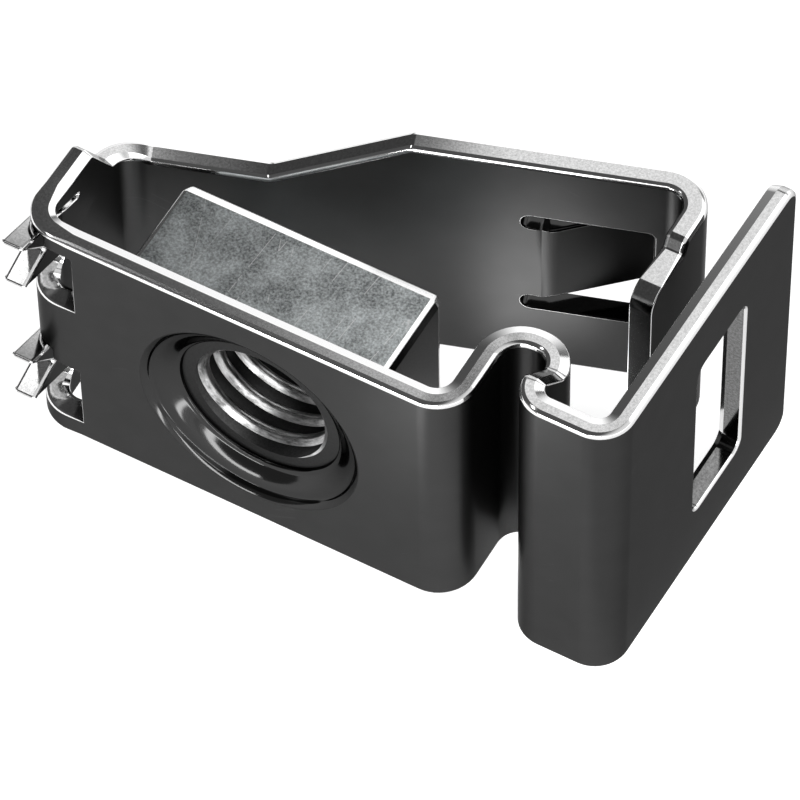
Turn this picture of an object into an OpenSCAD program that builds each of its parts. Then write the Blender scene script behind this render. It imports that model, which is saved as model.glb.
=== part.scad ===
// Rack cage nut: a square M6 nut trapped in a cage that is folded from one spring-steel strip.
// The strip starts at the free end on the right, runs round the back and the left of the nut, makes the
// front wall with the screw hole, and curls out of the front right corner into a finger lever.
// Two forked teeth, lanced out of the front left corner, hook behind the edge of a square rack hole.
//
// Frame: X along the front wall, +Y into the cage, +Z up. The origin is the middle of the nut's thread. The
// strip is symmetric about Z = 0, apart from the teeth and the tab.

/* [Strip] */
// Thickness of the spring steel
sheet_t = 0.9; // [0.7:0.05:1.1]
// Height of the cage walls
cage_h = 11.6; // [11.5:0.1:12.8]
// Height of the narrow stretch round the back left corner
narrow_h = 5.6; // [4.5:0.1:7]
// Height of the finger lever
lever_h = 14.3; // [12.5:0.1:16]

/* [Front wall] */
// Distance from the screw axis to the outer face of the left wall
left_reach = 9.4; // [8:0.1:11]
// Distance from the screw axis to the outer face of the front right corner
right_reach = 8.4; // [7.8:0.1:10]
// Inside radius of the two front corners
corner_r = 0.65; // [0.4:0.05:0.9]
// Diameter of the screw hole's dished mouth, at the outer face
dish_mouth_d = 9.3; // [7.6:0.1:9.8]
// Diameter of the screw hole at the inner face
dish_floor_d = 6.5; // [6:0.1:7.2]
// Radius of the rounded lip round the dished mouth
dish_lip_r = 0.25; // [0.1:0.05:0.4]

/* [Left and back walls] */
// Flat length of the left wall
left_run = 3.95; // [3:0.05:6]
// Length of the steep step at the back of the left wall
step_run = 1.25; // [0.8:0.05:2]
// Height of the left wall at the foot of the step
step_foot_h = 7.6; // [7.2:0.1:9]
// Length of the left wall past the foot of the step
step_rest = 0.25; // [0.2:0.05:0.6]
// Inside radius of the back left corner
back_left_r = 1.2; // [0.8:0.1:2]
// Angle of the back wall to the front wall
back_slant = 18.25; // [10:0.25:25]
// Flat length of the back wall
back_run = 18.65; // [18:0.05:20]
// Part of the back wall that is narrow
narrow_run = 4.2; // [2:0.1:5]
// Length of the ramp from the narrow to the full height
ramp_run = 5.2; // [3:0.1:6.5]
// Inside radius of the back right corner
back_right_r = 0.7; // [0.5:0.1:1.2]

/* [Right wall] */
// Flat length of the right wall, up to its free end
right_run = 3.8; // [2.5:0.05:4.2]
// Height of the right wall at its free end
right_h = 10.7; // [9.5:0.1:11.6]
// Distance from the back right corner to the step down to that height
right_step_start = 1.1; // [0.5:0.05:1.6]
// Length of the step
right_step_run = 0.3; // [0.2:0.05:0.8]
// Radius of the rounded corners at the strip's two ends
end_r = 0.8; // [0.3:0.1:1.5]

/* [Spring tab] */
// Distance from the start of the back wall to the tab's fold
tab_fold = 14.2; // [12.8:0.1:14.5]
// Height of the tab
tab_h = 4.0; // [2.5:0.1:5]
// Height of the tab's middle above the middle of the cage
tab_z = 0.2; // [-0.6:0.1:0.6]
// Length of the window that the tab leaves in the back wall
tab_window = 4.1; // [3:0.1:4.2]
// Height of the slot above the tab, and of the one below it
tab_slot = 0.7; // [0.4:0.05:1]
// Distance that the two slots run on past the fold
tab_relief = 0.75; // [0.4:0.05:1.2]
// Angle of the tab, out of the back wall
tab_angle = 25; // [10:1:35]
// Inside radius of the tab's fold
tab_fold_r = 0.5; // [0.3:0.1:1]
// Flat length of the tab
tab_run = 3.7; // [2.5:0.1:4]

/* [Teeth] */
// Distance between the two teeth, which is also that between the two corner windows
tooth_pitch = 6.7; // [6:0.1:7]
// Height of the two corner windows' common middle above the middle of the cage
window_z = 0.1; // [0:0.05:0.3]
// Height of a corner window
window_h = 3.1; // [2.9:0.05:3.4]
// Reach of a corner window into the front wall, from the left wall's outer face
window_front = 2.3; // [1.8:0.1:2.8]
// Reach of a corner window into the left wall, from the front wall's outer face
window_side = 1.75; // [1.65:0.05:2]
// Radius of a corner window's two corners in the left wall
window_r = 0.8; // [0.3:0.05:1.2]
// Height of a tooth, measured upright
tooth_h = 2.3; // [1.8:0.1:2.4]
// Height of a tooth's middle above its window's middle, in the plane of the front face
tooth_z = 0.85; // [0.6:0.05:0.9]
// Angle of a tooth's rise towards its points
tooth_lift = 18; // [10:1:20]
// Reach of the points in front of the front face
tooth_reach = 1.1; // [0.6:0.05:1.5]
// Distance from the points back to the root of the fork
tooth_fork = 1.7; // [1:0.05:2]
// Width of the slit above each tooth
slit_w = 0.24; // [0.15:0.01:0.3]
// Reach of the slit into the left wall, from the front wall's outer face
slit_side = 2.9; // [2.4:0.1:3.5]

/* [Curl] */
// Length of the short wall between the front right corner and the curl
neck_run = 1.6; // [1.2:0.1:2.5]
// Inside radius of the fold into the curl
curl_entry_r = 0.9; // [0.5:0.05:1.2]
// Flat length at the top of the curl
curl_top = 0.1; // [0.1:0.1:1]
// Inside radius of the curl's second fold
curl_r = 0.6; // [0.4:0.05:0.8]
// Length of the curl's return wall, where the strip widens to the lever's height
curl_run = 1.4; // [0.8:0.1:2]
// Inside radius of the fold out of the curl into the lever
lever_root_r = 0.4; // [0.3:0.05:0.7]

/* [Lever] */
// Flat length of the lever's front
lever_front = 1.65; // [1:0.05:3]
// Inside radius of the lever's corner
lever_corner_r = 0.45; // [0.3:0.05:0.9]
// Angle by which the lever's leg leans out
lever_lean = 1; // [0:0.5:4]
// Flat length of the lever's leg
lever_run = 11.9; // [10.5:0.1:13]
// Distance from the lever's corner to its window
lever_window_start = 4.75; // [3:0.05:6]
// Length of the lever's window
lever_window_run = 3.5; // [2.5:0.1:4]
// Height of the lever's window
lever_window_h = 8.65; // [7:0.05:10]
// Radius of the window's corners
lever_window_r = 0.5; // [0.2:0.05:0.8]

/* [Nut] */
// Side of the square nut
nut_w = 10.5; // [9.5:0.1:10.8]
// Thickness of the nut
nut_t = 4.0; // [3:0.1:4.6]
// Radius of the nut's edges
nut_edge_r = 0.35; // [0.15:0.05:0.5]
// Minor diameter of the M6 thread, which is the bore of this plain hole
bore_d = 4.92; // [4.8:0.01:5.1]
// Diameter of the countersink on both faces of the nut
countersink_d = 6.1; // [5.6:0.1:6.4]
// Clearance between the nut and the inside of the front wall
nut_clearance = 0; // [0:0.05:0.3]

/* [Hidden] */
$fn = 64;

// How far a cutter runs past the face that it cuts
past = 1;

corner_out = corner_r + sheet_t;
front_left = left_reach - corner_out;
front_right = right_reach - corner_out;
front_face = -(nut_t / 2 + nut_clearance + sheet_t);
countersink_depth = (countersink_d - bore_d) / 2;
window_heights = [window_z + tooth_pitch / 2, window_z - tooth_pitch / 2];

// Number of straight steps that draw the rounded lip of the screw hole
lip_steps = 6;
// Number of straight steps that draw the sloping rim of a fold. The last one is level.
rim_steps = 10;

// The left wall starts to taper at the foot of its step, and the back left fold goes on with the same slope
// until it has come down to the narrow stretch
back_left_angle = 90 - back_slant;
back_left_length = (back_left_r + sheet_t / 2) * back_left_angle * PI / 180;
back_left_h = step_foot_h - (step_foot_h - narrow_h) * step_rest / (step_rest + back_left_length);

// A wall of the strip: its side view, drawn with X along the strip and Y up, becomes a sheet that runs along
// X. Its outer face lies in the plane Y = 0, and its inner face at Y = sheet_t.
module wall(outer = 0, inner = sheet_t) {
    translate([0, inner, 0])
        rotate([90, 0, 0])
            linear_extrude(inner - outer)
                children();
}

// Distance from the strip's outer face to the axis of a fold. A fold with an angle above 0 turns towards the
// inner face, and one with an angle below 0 turns towards the outer face.
function fold_axis(angle, inside_r) = angle > 0 ? sheet_t + inside_r : -inside_r;

// Places what follows a fold at the fold's far end
module beyond_fold(angle, inside_r) {
    translate([0, fold_axis(angle, inside_r), 0])
        rotate([0, 0, angle])
            translate([0, -fold_axis(angle, inside_r), 0])
                children();
}

// The bent stretch of the strip in a fold that starts at the origin: a ring, cut off at both ends of the
// fold, so that each end is square to the flat wall that it meets
module fold(angle, inside_r, height) {
    outside_r = inside_r + sheet_t;
    cutter = [2 * outside_r, 4 * outside_r, height + 2 * past];
    difference() {
        translate([0, fold_axis(angle, inside_r), 0])
            difference() {
                cylinder(h = height, r = outside_r, center = true);
                cylinder(h = height + 2 * past, r = inside_r, center = true);
            }
        translate([-cutter.x / 2, fold_axis(angle, inside_r), 0])
            cube(cutter, center = true);
        beyond_fold(angle, inside_r)
            translate([cutter.x / 2, fold_axis(angle, inside_r), 0])
                cube(cutter, center = true);
    }
}

// Everything above the sloping rim of a fold of a positive angle, which falls evenly and ends level
module above_rim(angle, inside_r, start_h, end_h) {
    radii = [inside_r / 2, inside_r + sheet_t + past];
    stations = [-1:rim_steps + 1];
    points = [
        for (i = stations, top = [false, true], r = radii)
            let (a = angle * i / rim_steps)
                let (rim = max(end_h, start_h + (end_h - start_h) * i / (rim_steps - 1)))
                    [r * sin(a), fold_axis(angle, inside_r) - r * cos(a), top ? start_h : rim / 2]
    ];
    last = len(points) - 4;
    polyhedron(points, concat(
        [[0, 2, 3, 1], [last, last + 1, last + 3, last + 2]],
        [
            for (n = [0:4:last - 4])
                each [
                    [n, n + 1, n + 4], [n + 1, n + 5, n + 4],
                    [n + 2, n + 6, n + 7, n + 3],
                    [n, n + 4, n + 6, n + 2],
                    [n + 1, n + 3, n + 7, n + 5]
                ]
        ]
    ));
}

// A fold whose height falls along it
module sloping_fold(angle, inside_r, start_h, end_h) {
    difference() {
        fold(angle, inside_r, start_h + past);
        for (side = [0, 1])
            mirror([0, 0, side]) above_rim(angle, inside_r, start_h, end_h);
    }
}

// A fold, with what follows it
module folded(angle, inside_r, height) {
    fold(angle, inside_r, height);
    beyond_fold(angle, inside_r) children();
}

// Places what follows a flat wall at the wall's far end
module along(run) {
    translate([run, 0, 0]) children();
}

// Side view of a stretch of strip whose height changes evenly from one value to another
module stretch(start, run, start_h, end_h) {
    polygon([
        [start, -start_h / 2], [start + run, -end_h / 2],
        [start + run, end_h / 2], [start, start_h / 2]
    ]);
}

// Side view of the strip's end, with its two corners rounded
module rounded_end(run, height, corner) {
    translate([0, -height / 2]) square([run - corner, height]);
    translate([0, corner - height / 2]) square([run, height - 2 * corner]);
    for (side = [-1, 1])
        translate([run - corner, side * (height / 2 - corner)]) circle(corner);
}

// A rectangle that starts at X = 0 and has four rounded corners
module rounded_window(run, height, corner) {
    translate([corner, -height / 2]) square([run - 2 * corner, height]);
    translate([0, corner - height / 2]) square([run, height - 2 * corner]);
    for (x = [corner, run - corner], side = [-1, 1])
        translate([x, side * (height / 2 - corner)]) circle(corner);
}

// ---- Front wall ----

// The dished screw hole: a cone through the sheet, with a rounded lip at its mouth
module screw_hole() {
    mouth = dish_mouth_d / 2;
    floor_r = dish_floor_d / 2;
    lip = [for (i = [0:lip_steps])
        let (a = 90 * i / lip_steps)
            [mouth - dish_lip_r * sin(a), dish_lip_r * (1 - cos(a))]];
    rotate([-90, 0, 0])
        rotate_extrude()
            polygon(concat(
                [[0, -past], [mouth, -past]],
                lip,
                [[floor_r, sheet_t], [floor_r, sheet_t + past], [0, sheet_t + past]]
            ));
}

// Side view of the two windows' share of the front wall, measured from the wall's left end
module window_in_front() {
    for (z = window_heights)
        translate([-past, z - window_h / 2])
            square([past + window_front - corner_out, window_h]);
}

module front_wall() {
    difference() {
        translate([-front_left, 0, 0])
            wall()
                difference() {
                    stretch(0, front_left + front_right, cage_h, cage_h);
                    window_in_front();
                }
        screw_hole();
    }
}

// ---- Corner windows and teeth, in the side view of the left wall, whose X = 0 is the end of the front left
// fold ----

// The share of a corner window that lies in the fold and in the left wall
module corner_window(z) {
    start = -corner_out - past;
    end = window_side - corner_out;
    translate([start, z - window_h / 2]) square([end - window_r - start, window_h]);
    translate([start, z + window_r - window_h / 2]) square([end - start, window_h - 2 * window_r]);
    for (side = [-1, 1])
        translate([end - window_r, z + side * (window_h / 2 - window_r)]) circle(window_r);
}

// Height of a tooth's middle line at a distance along the left wall
function tooth_middle(x, z) = z + tooth_z - (x + corner_out) * tan(tooth_lift);

// A tooth: a leaning bar with a forked end. Its points lie tooth_reach in front of the front face.
module tooth(z) {
    tip = -corner_out - tooth_reach;
    root = tip + tooth_fork;
    foot = window_side - corner_out + slit_w;
    polygon([
        [foot, tooth_middle(foot, z) - tooth_h / 2],
        [foot, tooth_middle(foot, z) + tooth_h / 2],
        [tip, tooth_middle(tip, z) + tooth_h / 2],
        [root, tooth_middle(root, z)],
        [tip, tooth_middle(tip, z) - tooth_h / 2]
    ]);
}

// The slit that parts the top of a tooth from the wall, with a round end
module slit(z) {
    start = -corner_out - tooth_reach;
    end = slit_side - corner_out - slit_w / 2;
    polygon([
        [start, tooth_middle(start, z) + tooth_h / 2],
        [end, tooth_middle(end, z) + tooth_h / 2],
        [end, tooth_middle(end, z) + tooth_h / 2 + slit_w],
        [start, tooth_middle(start, z) + tooth_h / 2 + slit_w]
    ]);
    translate([end, tooth_middle(end, z) + (tooth_h + slit_w) / 2]) circle(slit_w / 2);
}

// ---- Left wall ----

module left_wall() {
    step_start = left_run - step_rest - step_run;
    wall()
        difference() {
            union() {
                difference() {
                    union() {
                        stretch(0, step_start, cage_h, cage_h);
                        stretch(step_start, step_run, cage_h, step_foot_h);
                        stretch(left_run - step_rest, step_rest, step_foot_h, back_left_h);
                    }
                    for (z = window_heights) corner_window(z);
                }
                for (z = window_heights) tooth(z);
            }
            for (z = window_heights) slit(z);
        }
}

// The front left fold, open at the two windows and where the teeth pass
module front_left_fold() {
    difference() {
        fold(90, corner_r, cage_h);
        beyond_fold(90, corner_r)
            for (z = window_heights) {
                wall(outer = -past, inner = corner_out + past) corner_window(z);
                wall(outer = -past, inner = sheet_t + slit_w) {
                    tooth(z);
                    slit(z);
                }
            }
    }
}

// ---- Back and right walls ----

// Side view of the window that the tab was lanced from, with the two slots that run on past the fold
module tab_opening() {
    opening_h = tab_h + 2 * tab_slot;
    translate([tab_fold, tab_z - opening_h / 2]) square([tab_window, opening_h]);
    for (side = [-1, 1])
        translate([tab_fold - tab_relief + tab_slot / 2, tab_z + side * (tab_h + tab_slot) / 2]) {
            circle(tab_slot / 2);
            translate([0, -tab_slot / 2]) square([tab_relief, tab_slot]);
        }
}

// The tab, which starts at the fold and leans out of the wall
module tab() {
    translate([0, 0, tab_z])
        folded(-tab_angle, tab_fold_r, tab_h)
            wall()
                stretch(0, tab_run, tab_h, tab_h);
}

module back_wall() {
    wall()
        difference() {
            union() {
                stretch(0, narrow_run, narrow_h, narrow_h);
                stretch(narrow_run, ramp_run, narrow_h, cage_h);
                stretch(narrow_run + ramp_run, back_run - narrow_run - ramp_run, cage_h, cage_h);
            }
            tab_opening();
        }
    along(tab_fold) tab();
}

module right_wall() {
    step_end = right_step_start + right_step_run;
    wall() {
        stretch(0, right_step_start, cage_h, cage_h);
        stretch(right_step_start, right_step_run, cage_h, right_h);
        translate([step_end, 0]) rounded_end(right_run - step_end, right_h, end_r);
    }
}

// The strip from the front left corner to its free end on the right
module way_round() {
    front_left_fold();
    beyond_fold(90, corner_r) {
        left_wall();
        along(left_run) {
            sloping_fold(back_left_angle, back_left_r, back_left_h, narrow_h);
            beyond_fold(back_left_angle, back_left_r) {
                back_wall();
                along(back_run) folded(90 + back_slant, back_right_r, cage_h) right_wall();
            }
        }
    }
}

// ---- Curl and lever ----

module curl_return() {
    wall() stretch(0, curl_run, cage_h, lever_h);
}

module lever_leg() {
    wall()
        difference() {
            rounded_end(lever_run, lever_h, end_r);
            translate([lever_window_start, 0])
                rounded_window(lever_window_run, lever_window_h, lever_window_r);
        }
}

// The strip from the front right corner through the curl to the end of the lever
module way_out() {
    folded(90, corner_r, cage_h) {
        wall() stretch(0, neck_run, cage_h, cage_h);
        along(neck_run) folded(-90, curl_entry_r, cage_h) {
            wall() stretch(0, curl_top, cage_h, cage_h);
            along(curl_top) folded(-90, curl_r, cage_h) {
                curl_return();
                along(curl_run) folded(90, lever_root_r, lever_h) {
                    wall() stretch(0, lever_front, lever_h, lever_h);
                    along(lever_front) folded(90 - lever_lean, lever_corner_r, lever_h) lever_leg();
                }
            }
        }
    }
}

// The cage: the whole strip, one folded piece
module cage() {
    color([0.28, 0.28, 0.29])
        translate([0, front_face, 0]) {
            front_wall();
            translate([front_right, 0, 0]) way_out();
            translate([-front_left, 0, 0]) mirror([1, 0, 0]) way_round();
        }
}

// ---- Nut ----

// Square with rounded corners, centred on the origin
module rounded_square(width, depth, corner) {
    square([width - 2 * corner, depth], center = true);
    square([width, depth - 2 * corner], center = true);
    for (x = [-1, 1], y = [-1, 1])
        translate([x * (width / 2 - corner), y * (depth / 2 - corner)]) circle(corner);
}

// Square block with every edge rounded, made by crossing one bar along each axis
module nut_block() {
    intersection() {
        rotate([90, 0, 0])
            linear_extrude(nut_t, center = true)
                rounded_square(nut_w, nut_w, nut_edge_r);
        rotate([90, 0, 90])
            linear_extrude(nut_w, center = true)
                rounded_square(nut_t, nut_w, nut_edge_r);
        linear_extrude(nut_w, center = true)
            rounded_square(nut_w, nut_t, nut_edge_r);
    }
}

module nut() {
    color([0.55, 0.57, 0.58])
        difference() {
            nut_block();
            rotate([90, 0, 0]) {
                cylinder(h = nut_t + 2 * past, d = bore_d, center = true);
                for (side = [0, 1])
                    mirror([0, 0, side])
                        translate([0, 0, nut_t / 2 - countersink_depth])
                            cylinder(h = countersink_depth + past, d1 = bore_d,
                                     d2 = countersink_d + 2 * past);
            }
        }
}

cage();
nut();
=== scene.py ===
import math
import bpy
import bmesh
from mathutils import Matrix, Vector
from mathutils.geometry import delaunay_2d_cdt


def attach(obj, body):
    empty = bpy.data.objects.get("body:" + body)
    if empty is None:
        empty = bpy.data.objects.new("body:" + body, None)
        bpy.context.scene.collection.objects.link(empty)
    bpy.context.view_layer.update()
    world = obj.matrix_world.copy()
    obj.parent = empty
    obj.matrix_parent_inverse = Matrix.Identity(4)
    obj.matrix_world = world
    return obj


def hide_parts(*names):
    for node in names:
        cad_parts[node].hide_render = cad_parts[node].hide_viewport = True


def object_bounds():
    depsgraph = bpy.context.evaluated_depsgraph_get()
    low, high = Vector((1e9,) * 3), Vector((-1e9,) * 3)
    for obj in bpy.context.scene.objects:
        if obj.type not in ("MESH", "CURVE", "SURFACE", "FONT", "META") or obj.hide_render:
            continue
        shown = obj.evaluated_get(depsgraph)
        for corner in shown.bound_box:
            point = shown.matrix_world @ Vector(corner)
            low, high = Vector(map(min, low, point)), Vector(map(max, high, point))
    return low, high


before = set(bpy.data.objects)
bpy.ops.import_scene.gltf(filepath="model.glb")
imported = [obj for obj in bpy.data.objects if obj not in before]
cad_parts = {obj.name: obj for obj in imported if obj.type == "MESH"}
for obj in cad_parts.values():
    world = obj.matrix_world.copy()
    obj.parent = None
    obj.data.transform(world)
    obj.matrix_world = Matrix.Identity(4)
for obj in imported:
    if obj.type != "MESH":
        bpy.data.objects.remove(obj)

cad_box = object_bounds()

# Sizes are in millimetres, as in the part's source, and become metres where a mesh is made.
MM = 0.001

# Strip
SHEET_T = 0.9
CAGE_H = 11.6
NARROW_H = 5.6
LEVER_H = 14.3
END_R = 0.8

# Front wall
FRONT_LEFT = 7.85
FRONT_RIGHT = 6.85
FRONT_FACE = -2.9
CORNER_OUT = 1.55

# Walls and folds on both sides of the front wall: a wall has a run, and a fold an angle and an
# inside radius
WAY_ROUND = [(90, 0.65), (3.95,), (71.75, 1.2), (18.65,), (108.25, 0.7), (3.8,)]
WAY_OUT = [(90, 0.65), (1.6,), (-90, 0.9), (0.1,), (-90, 0.6), (1.4,), (90, 0.4), (1.65,),
           (89, 0.45), (11.9,)]

# Rim: the runs and heights of its steps and ramps, and how round their corners are
STEP_RUN = 1.25
STEP_FOOT_H = 7.6
STEP_REST = 0.25
NARROW_LEAD = 0.2
NARROW_RUN = 4.2
RAMP_RUN = 5.2
RIGHT_H = 10.7
RIGHT_STEP_START = 1.1
RIGHT_STEP_RUN = 0.3
RAMP_R = 0.5
STEP_TOP_R = 0.3
STEP_FOOT_R = 0.15
SLIGHT_BEND_R = 0.1

# Dished hole, as radius and depth: rounded mouth, groove, domed cone and a lip at the floor
DISH = [(4.5, 0), (4.46, 0.008), (4.43, 0.022), (4.37, 0.063), (4.3, 0.112), (4.27, 0.15),
        (4.25, 0.2), (4.225, 0.24), (4.19, 0.268), (4.14, 0.285), (4.07, 0.3), (3.98, 0.33),
        (3.87, 0.385), (3.75, 0.46), (3.6, 0.565), (3.47, 0.67), (3.41, 0.71), (3.36, 0.728),
        (3.31, 0.742), (3.28, 0.77), (3.26, 0.82), (3.25, SHEET_T)]

# Spring tab
TAB_FOLD = 14.2
TAB_H = 4.0
TAB_Z = 0.2
TAB_R = 0.25
TAB_WINDOW = 4.1
TAB_WINDOW_R = 0.3
TAB_SLOT = 0.7
TAB_RELIEF = 0.75
TAB = [(-25, 0.5), (3.7,)]

# Teeth and corner windows
WINDOW_MIDDLES = [3.45, -3.25]
WINDOW_H = 3.1
WINDOW_FRONT = 2.3
WINDOW_SIDE = 1.75
WINDOW_R = 0.8
TOOTH_H = 2.3
TOOTH_Z = 0.85
TOOTH_LIFT = 18
TOOTH_REACH = 1.1
TOOTH_TIP_R = 0.08
TOOTH_FORK = 1.7
TOOTH_FORK_R = 0.1
SLIT_W = 0.24
SLIT_SIDE = 2.9

# The window's round corner has drawn in by this much where the tooth's lower side meets it
CORNER_DRAWN_IN = 0.0085
TOOTH_FOOT = WINDOW_SIDE - CORNER_OUT - CORNER_DRAWN_IN

# Over this run the edges of a tooth and of the tab grow from nothing, and a tooth's prongs are
# drawn from a little further on
ROOT_RUN = 0.25
PRONGS_RUN = 0.3

# Degrees round the front left fold at which the slit's upper side is set over the flat tooth
SLIT_ANGLES = [74.7, 60, 45, 30, 15, 0]

# Lever window: start, run, height and corner radius
LEVER_WINDOW = (4.75, 3.5, 8.65, 0.5)

# Nut. Its corners are cut twice: run and drop of each cut.
NUT_W = 10.5
NUT_T = 4.0
NUT_CORNER = [(0.16, 0.07), (0.14, 0.3)]
NUT_CORNER_R = 0.1
BORE_R = 2.46
COUNTERSINK_R = 2.72
COUNTERSINK_SLOPE = 1.2
COUNTERSINK_LEAN = 0.7

# Thread. Its crest and its root are rounded: shares of the pitch, and how far the radius is off.
THREAD_PITCH = 1.0
THREAD_ROOT_R = 3.0
THREAD_RUN_OUT = 1.5
THREAD_CREST = [(0.05, 0.004), (0.1, 0.018), (0.16, 0.06)]
THREAD_ROOT = [(0.05, 0.01), (0.1, 0.06)]
THREAD_SHARP_ANGLE = 40

# Edge radii
EDGE_R = 0.2
TIGHT_FOLD_EDGE_R = 0.13
FREE_END_EDGE_R = 0.04
LEVER_WINDOW_EDGE_R = 0.1
TAB_WINDOW_EDGE_R = 0.06
TAB_EDGE_R = 0.12
TOOTH_EDGE_R = 0.13
SLIT_EDGE_R = 0.08
WINDOW_LIP_R = 0.16
WINDOW_FRONT_EDGE_R = 0.02
NUT_EDGE_R = 0.4

# Cut edges, as shares of the edge radius: how far into the cut, how far down the face, and the
# lean from the cut's own direction in degrees. The list runs from the face to the cut.
ROLLED_EDGE = [(0, 1, 90), (0.04, 0.85, 72), (0.28, 0.36, 58), (0.38, 0.24, 42),
               (0.5, 0.16, 24), (0.97, 0, 18), (1, 0, 0)]
BURNISHED_EDGE = [(0, 0.9, 90), (0.04, 0.7, 70), (0.1, 0.6, 50), (0.16, 0.54, 30),
                  (0.2, 0.52, 17), (1.86, 0.005, 17), (1.9, 0, 0)]
BURNISH_FADE = 0.5
NUT_EDGE = [(0, 0.46, 90), (0.02, 0.44, 75), (0.06, 0.42, 55), (0.12, 0.38, 40),
            (0.2, 0.34, 25), (0.97, 0.005, 24), (1, 0, 0)]
NEAR_EDGE_SHARE = 0.3

# Values of the edge attribute on a cut: sheared bare with a painted highlight, punched in a window
# with painted shade, or drawn dark
SHEARED, PUNCHED, DRAWN = 1.0, 1.3, 2.0

# Meshing: degrees between the points of a fold and of a corner, points round a hole, and how
# far the edge may move at a corner, as shares
BEND_STEP = 7.5
CORNER_STEP = 12
ROUND_STEPS = 128
SHARPEST_CORNER = 0.3
FURTHEST_REACH = 2.2
# Points this close are one, in millimetres on a flat plate and in metres on the thread
SAME_POINT = 1e-7
NO_AREA = 1e-13
CUT_WIDTH = 1e-5

# Greys of the finishes, with painted highlight and painted shade where noted. A pair is where the
# grain is dark and where it is bright.
STEEL_FACE = (0.058, 0.069)
STEEL_SCRATCH = 0.085
# Bare sheared metal, painted lighter still as a highlight on the rims
SHEARED_BARE_AND_HIGHLIGHT = (0.48, 0.7)
# Painted shade: the cut walls inside the lever window are darker than the other cuts
PUNCHED_CUT_AND_SHADE = (0.14, 0.3)
DRAWN_CUT = 0.05
# Painted highlight: near-white on the rounded edges of the cage and of the nut
PAINTED_EDGE_HIGHLIGHT = 0.95
ZINC_DARK = (0.2, 0.66)
ZINC_LIGHT = (0.52, 0.94)
ZINC_TINT = (0.95, 1, 1.01)
ZINC_SCRATCH = 0.98
# Painted shade: the nut's sides and front are dark instead of zinc
PAINTED_SHADE_SIDES = (0.032, 0.046)
THREAD_CUT = (0.12, 0.7)

# How far below the nut's top, back and corner a point still counts as on it
ON_TOP, ON_BACK, ON_CORNER = 0.03, 0.015, 0.02


# ---- Where a point of the flat strip lies once it is folded ----

def heading_vectors(heading):
    along = Vector((math.cos(heading), math.sin(heading)))
    return along, Vector((-along.y, along.x))


def lay_out(legs, at=(0, 0), heading=0.0):
    """Lay walls and folds one after another: run, length, start, heading, angle and fold axis"""
    placed, at, run = [], Vector(at), 0.0
    for leg in legs:
        along, inward = heading_vectors(heading)
        if len(leg) == 1:
            placed.append((run, leg[0], at.copy(), heading, 0.0, 0.0))
            at = at + along * leg[0]
            run += leg[0]
            continue
        angle, inside = math.radians(leg[0]), leg[1]
        axis = SHEET_T + inside if angle > 0 else -inside
        length = (inside + SHEET_T / 2) * abs(angle)
        placed.append((run, length, at.copy(), heading, angle, axis))
        centre = at + inward * axis
        heading += angle
        at = centre - heading_vectors(heading)[1] * axis
        run += length
    return placed


ROUND_LEGS = lay_out(WAY_ROUND)
OUT_LEGS = lay_out(WAY_OUT)
LEFT_WALL = ROUND_LEGS[1]
BACK_WALL = ROUND_LEGS[3]
TAB_LEGS = lay_out(TAB, BACK_WALL[2] + heading_vectors(BACK_WALL[3])[0] * TAB_FOLD, BACK_WALL[3])


def folded_point(placed, run, depth):
    """Place, direction and inward normal of a point at a run and a depth in the sheet"""
    leg = placed[0]
    for other in placed:
        if other[0] <= run:
            leg = other
    start, length, at, heading, angle, axis = leg
    along, inward = heading_vectors(heading)
    if angle == 0:
        return at + along * (run - start) + inward * depth, along, inward
    centre = at + inward * axis
    along, inward = heading_vectors(heading + angle * (run - start) / length)
    return centre + inward * (depth - axis), along, inward


def mirrored(result):
    point, along, inward = result
    return (Vector((-FRONT_LEFT - point.x, point.y)), Vector((-along.x, along.y)),
            Vector((-inward.x, inward.y)))


def place_on_strip(run, depth):
    """Runs above 0 go left from the screw axis and round the back, those below 0 to the lever"""
    if run >= FRONT_LEFT:
        return mirrored(folded_point(ROUND_LEGS, run - FRONT_LEFT, depth))
    if run <= -FRONT_RIGHT:
        point, along, inward = folded_point(OUT_LEGS, -FRONT_RIGHT - run, depth)
        return Vector((FRONT_RIGHT + point.x, point.y)), -along, inward
    return Vector((-run, depth)), Vector((-1, 0)), Vector((0, 1))


def place_on_tooth(run, depth):
    """Runs are measured from the end of the front left fold, in the plane of the left wall"""
    along, inward = heading_vectors(LEFT_WALL[3])
    return mirrored((LEFT_WALL[2] + along * run + inward * depth, along, inward))


def place_on_tab(run, depth):
    return mirrored(folded_point(TAB_LEGS, run, depth))


def place_on_nut(run, depth):
    return Vector((-run, depth - NUT_T / 2 - FRONT_FACE)), Vector((-1, 0)), Vector((0, 1))


def fold_stations(placed):
    """Runs at which a mesh is cut so that it can bend smoothly"""
    runs = []
    for start, length, _, _, angle, _ in placed:
        if angle == 0:
            continue
        steps = math.ceil(abs(math.degrees(angle)) / BEND_STEP)
        runs += [start + length * step / steps for step in range(steps + 1)]
    return runs


# ---- Outlines. A point is (run, height, edge radius, open); no cut edge follows an open one ----

def rounded(corners):
    """Round a closed outline's corners, each as (run, height, corner radius, edge radius)"""
    points = []
    for index, (run, height, radius, edge) in enumerate(corners):
        here = Vector((run, height))
        if radius == 0:
            points.append((run, height, edge, False))
            continue
        back = (Vector(corners[index - 1][:2]) - here).normalized()
        ahead = (Vector(corners[(index + 1) % len(corners)][:2]) - here).normalized()
        angle = back.angle(ahead)
        centre = here + (back + ahead).normalized() * radius / math.sin(angle / 2)
        first = here + back * radius / math.tan(angle / 2) - centre
        last = here + ahead * radius / math.tan(angle / 2) - centre
        turn = math.atan2(first.x * last.y - first.y * last.x, first.dot(last))
        steps = max(2, math.ceil(abs(math.degrees(turn)) / CORNER_STEP))
        for count in range(steps + 1):
            spoke = Matrix.Rotation(turn * count / steps, 2) @ first
            points.append((centre.x + spoke.x, centre.y + spoke.y, edge, False))
    return points


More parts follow.
